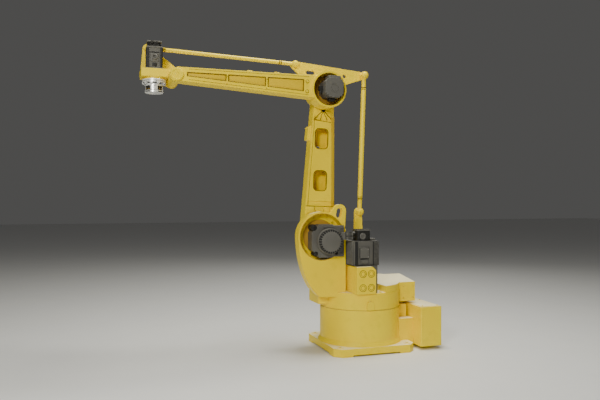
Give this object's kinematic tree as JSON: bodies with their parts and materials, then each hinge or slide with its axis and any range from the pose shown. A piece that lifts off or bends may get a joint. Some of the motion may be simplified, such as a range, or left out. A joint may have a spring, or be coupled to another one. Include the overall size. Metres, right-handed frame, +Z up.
{
  "type": "palletising robot arm",
  "caption": "Floor-standing palletising robot arm: turret on a drum base, tall lower arm, long forearm, rods that keep the wrist level, and a turning tool flange",
  "frame": {"origin": "on the turret's turning axis, in the plane of the feet's undersides", "axes": "+X forward, the way the arm reaches at rest; +Y the side that carries the arm's motors; +Z up"},
  "size_m": [2.4882, 0.728, 2.485],
  "materials": {
    "arm_motor": "satin dark grey paint",
    "arm_motor_connector": "satin dark grey paint",
    "arm_motor_flange": "satin dark grey paint",
    "arm_side_cover": "satin yellow enamel over cast iron or steel",
    "base_casting": "satin yellow enamel over cast iron or steel",
    "connection_box": "satin yellow enamel over cast iron or steel",
    "connection_cover": "satin yellow enamel over cast iron or steel",
    "elbow_link_plate": "satin yellow enamel over cast iron or steel",
    "elbow_motor": "satin dark grey paint",
    "elbow_motor_flange": "satin dark grey paint",
    "elbow_reducer": "dark machined iron",
    "forearm_casting": "satin yellow enamel over cast iron or steel",
    "front_link_pin": "machined steel",
    "link_post": "satin yellow enamel over cast iron or steel",
    "lower_arm_casting": "satin yellow enamel over cast iron or steel",
    "lower_link_pin": "machined steel",
    "lower_rod_ends": "satin yellow enamel over cast iron or steel",
    "lower_rod_tube": "satin yellow enamel over cast iron or steel",
    "motor_bracket": "satin yellow enamel over cast iron or steel",
    "rear_housing": "satin yellow enamel over cast iron or steel",
    "rear_link_pin": "machined steel",
    "shoulder_reducer": "dark machined iron",
    "supply_inlets": "black plastic glands",
    "tool_collar": "bare machined metal",
    "tool_flange": "bare machined metal",
    "turn_encoder": "satin dark grey paint",
    "turn_motor": "satin dark grey paint",
    "turret_casting": "satin yellow enamel over cast iron or steel",
    "upper_link_pin": "machined steel",
    "upper_rod_ends": "satin yellow enamel over cast iron or steel",
    "upper_rod_tube": "satin yellow enamel over cast iron or steel",
    "wrist_casting": "satin yellow enamel over cast iron or steel",
    "wrist_encoder": "satin dark grey paint",
    "wrist_motor": "satin dark grey paint",
    "wrist_pivot_cap": "satin yellow enamel over cast iron or steel",
    "wrist_reducer": "satin yellow enamel over cast iron or steel"
  },
  "bodies": {
    "base": {"base_casting": "base_casting", "connection_box": "connection_box", "connection_cover": "connection_cover", "supply_inlets": "supply_inlets"},
    "turret": {"turret_casting": "turret_casting", "rear_housing": "rear_housing", "motor_bracket": "motor_bracket", "turn_motor": "turn_motor", "turn_encoder": "turn_encoder", "shoulder_reducer": "shoulder_reducer", "arm_motor_flange": "arm_motor_flange", "arm_motor": "arm_motor", "arm_motor_connector": "arm_motor_connector", "link_post": "link_post", "lower_link_pin": "lower_link_pin"},
    "lower_arm": {"lower_arm_casting": "lower_arm_casting", "arm_side_cover": "arm_side_cover", "elbow_reducer": "elbow_reducer"},
    "elbow_link": {"elbow_link_plate": "elbow_link_plate", "rear_link_pin": "rear_link_pin", "upper_link_pin": "upper_link_pin"},
    "forearm": {"forearm_casting": "forearm_casting", "wrist_pivot_cap": "wrist_pivot_cap", "elbow_motor_flange": "elbow_motor_flange", "elbow_motor": "elbow_motor"},
    "lower_rod": {"lower_rod_tube": "lower_rod_tube", "lower_rod_ends": "lower_rod_ends"},
    "upper_rod": {"upper_rod_tube": "upper_rod_tube", "upper_rod_ends": "upper_rod_ends"},
    "wrist": {"wrist_casting": "wrist_casting", "wrist_motor": "wrist_motor", "wrist_encoder": "wrist_encoder", "wrist_reducer": "wrist_reducer", "front_link_pin": "front_link_pin"},
    "tool": {"tool_collar": "tool_collar", "tool_flange": "tool_flange"}
  },
  "joints": [
    {"name": "turret_turn", "type": "hinge", "parent": "base", "child": "turret", "pos_m": [0, 0, 0.355], "axis": [0, 0, 1], "range_deg": [-180, 180]},
    {"name": "arm_swing", "type": "hinge", "parent": "turret", "child": "lower_arm", "pos_m": [0.41, 0, 0.955], "axis": [0, 1, 0], "range_deg": [-30, 85]},
    {"name": "elbow_level", "type": "hinge", "parent": "lower_arm", "child": "elbow_link", "pos_m": [0.36603, 0, 2.15419], "axis": [0, 1, 0], "range_deg": [-90, 35]},
    {"name": "lower_rod_swing", "type": "hinge", "parent": "turret", "child": "lower_rod", "pos_m": [-0.036, -0.08, 1.153], "axis": [0, 1, 0], "range_deg": [-35, 90]},
    {"name": "forearm_swing", "type": "hinge", "parent": "elbow_link", "child": "forearm", "pos_m": [0.36603, 0, 2.15419], "axis": [0, 1, 0], "range_deg": [-20, 45]},
    {"name": "upper_rod_swing", "type": "hinge", "parent": "elbow_link", "child": "upper_rod", "pos_m": [0.56003, -0.08, 2.40819], "axis": [0, 1, 0], "range_deg": [-25, 50]},
    {"name": "wrist_level", "type": "hinge", "parent": "forearm", "child": "wrist", "pos_m": [1.58721, 0, 2.19897], "axis": [0, 1, 0], "range_deg": [-50, 25]},
    {"name": "tool_turn", "type": "hinge", "parent": "wrist", "child": "tool", "pos_m": [1.73421, 0, 2.18697], "axis": [0, 0, 1], "range_deg": [-360, 360]}
  ],
  "couplings": [
    {"joint": "elbow_level", "follows": "arm_swing", "ratio": -1},
    {"joint": "lower_rod_swing", "follows": "arm_swing", "ratio": 1},
    {"joint": "wrist_level", "follows": "forearm_swing", "ratio": -1},
    {"joint": "upper_rod_swing", "follows": "forearm_swing", "ratio": 1}
  ]
}
